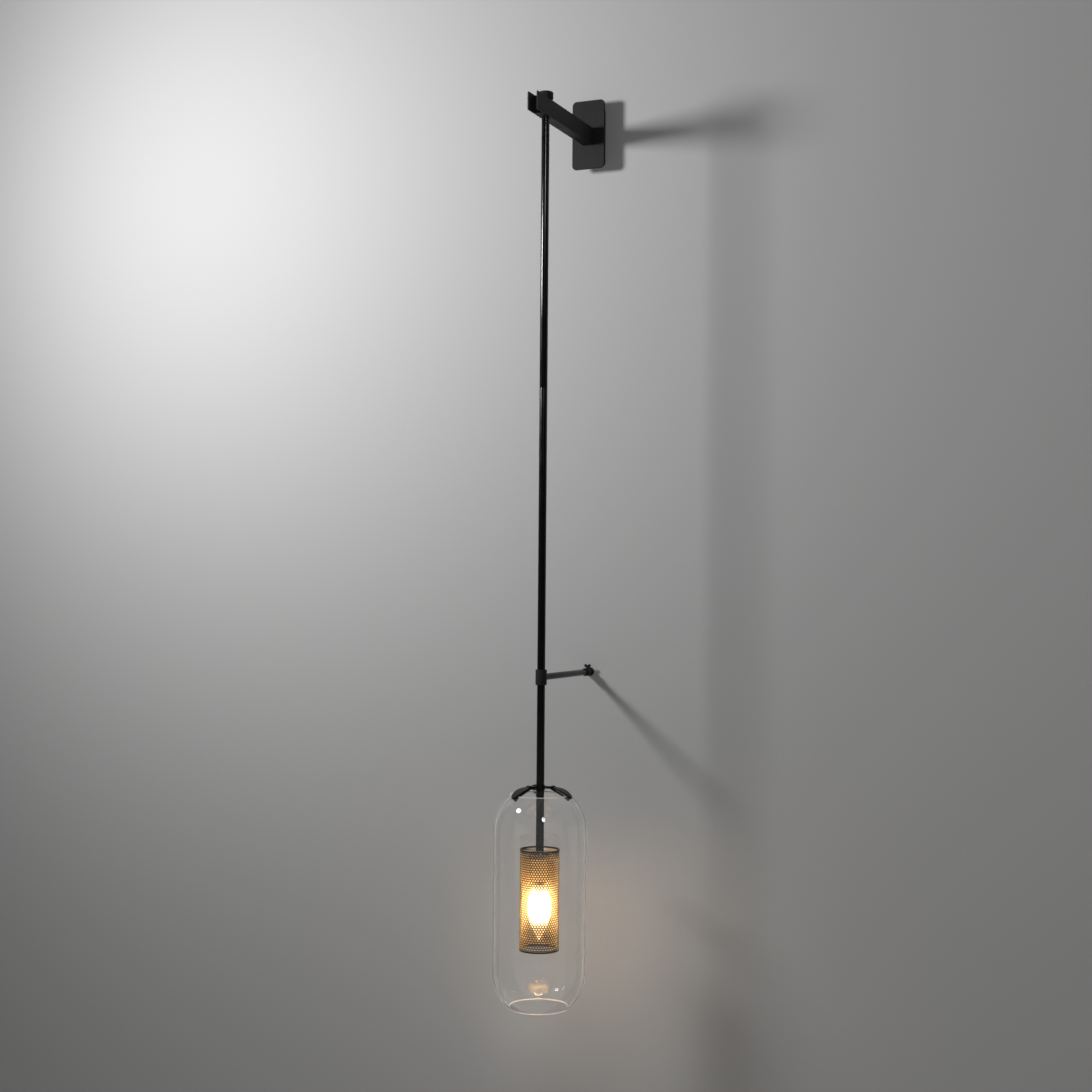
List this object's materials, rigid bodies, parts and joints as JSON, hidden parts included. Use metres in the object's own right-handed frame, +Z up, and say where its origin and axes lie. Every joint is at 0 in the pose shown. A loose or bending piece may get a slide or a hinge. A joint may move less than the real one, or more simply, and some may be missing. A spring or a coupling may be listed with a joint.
{
  "type": "hanging pendant wall sconce",
  "caption": "Wall light: a forked arm carries a long rod with a wall stay, and a clear glass capsule held by leaf claws round a pierced brass tube with a candle bulb.",
  "frame": {"origin": "centre of the upper wall fixing, on the wall plane, at the back face of the wall bracket", "axes": "+Z up, +Y into the wall, +X to the right as seen from the room"},
  "size_m": [0.14, 0.265, 1.406],
  "materials": {
    "black_coat": "satin black powder coat on steel",
    "black_rod": "smooth semi-gloss black lacquer on steel tube",
    "black_casting": "satin black lacquer on cast zinc",
    "black_screw": "blackened steel screw",
    "zinc_steel": "zinc-plated steel",
    "plated_steel": "bright nickel plate",
    "terminal_plastic": "off-white moulded nylon",
    "nylon": "black nylon",
    "silicone": "soft black silicone",
    "shade_glass": "clear blown soda glass, fire-polished rims",
    "tube_brass": "brass sheet, finely pierced, lightly aged",
    "dark_brass": "dark bronzed brass",
    "contact_brass": "bare brass",
    "ceramic": "white glazed ceramic",
    "bulb_glass": "thin clear bulb glass",
    "filament": "warm glowing filament"
  },
  "bodies": {
    "wall_side": {"wall_bracket": "zinc_steel", "bracket_ears": "zinc_steel", "canopy_tray": "black_coat", "wall_plate": "black_coat", "tray_screws": "black_screw", "terminal_block": "terminal_plastic", "terminal_screws": "contact_brass", "arm_tube": "black_coat", "arm_end_block": "zinc_steel", "arm_nose_block": "black_coat", "arm_screws": "zinc_steel", "rod_washer": "nylon", "stay_collar": "black_coat", "collar_screw": "black_screw", "stay_rod": "black_rod", "stay_foot": "black_coat"},
    "thumb": {"thumb_screw": "black_screw"},
    "pendant": {"rod_cap": "black_coat", "rod_upper": "black_rod", "rod_lower": "black_rod", "rod_joiner": "zinc_steel", "claw_spider": "black_casting", "finger_sleeves": "silicone", "claw_pins": "black_screw", "hub_screw": "black_screw", "glass_shade": "shade_glass", "mesh_tube": "tube_brass", "tube_top_ring": "dark_brass", "tube_bottom_ring": "dark_brass", "tube_bridge": "plated_steel", "lamp_nipple": "zinc_steel", "holder_cup": "plated_steel", "nipple_nut": "zinc_steel", "holder_body": "ceramic", "holder_shell": "contact_brass", "centre_contact": "contact_brass"},
    "leaf_1": {"claw_leaf_1": "black_casting"},
    "leaf_2": {"claw_leaf_2": "black_casting"},
    "leaf_3": {"claw_leaf_3": "black_casting"},
    "bulb": {"bulb_cap": "plated_steel", "bulb_glass": "bulb_glass", "bulb_stem": "bulb_glass", "bulb_filaments": "filament"}
  },
  "joints": [
    {"name": "pendant_swivel", "type": "hinge", "parent": "wall_side", "child": "pendant", "pos_m": [0, -0.195, 0.0111], "axis": [0, 0, 1], "range_deg": [-170, 170]},
    {"name": "thumb_screw_turn", "type": "hinge", "parent": "wall_side", "child": "thumb", "pos_m": [0, -0.011, -0.8528], "axis": [0, 0, 1], "range_deg": [0, 720]},
    {"name": "leaf_1_lift", "type": "hinge", "parent": "pendant", "child": "leaf_1", "pos_m": [0.0205, -0.195, -1.0235], "axis": [0, -1, 0], "range_deg": [0, 75]},
    {"name": "leaf_2_lift", "type": "hinge", "parent": "pendant", "child": "leaf_2", "pos_m": [-0.01025, -0.17725, -1.0235], "axis": [0.866, 0.5, 0], "range_deg": [0, 75]},
    {"name": "leaf_3_lift", "type": "hinge", "parent": "pendant", "child": "leaf_3", "pos_m": [-0.01025, -0.21275, -1.0235], "axis": [-0.866, 0.5, 0], "range_deg": [0, 75]},
    {"name": "bulb_unscrew", "type": "hinge", "parent": "pendant", "child": "bulb", "pos_m": [0, -0.195, -1.16], "axis": [0, 0, -1], "range_deg": [0, 1440]}
  ]
}
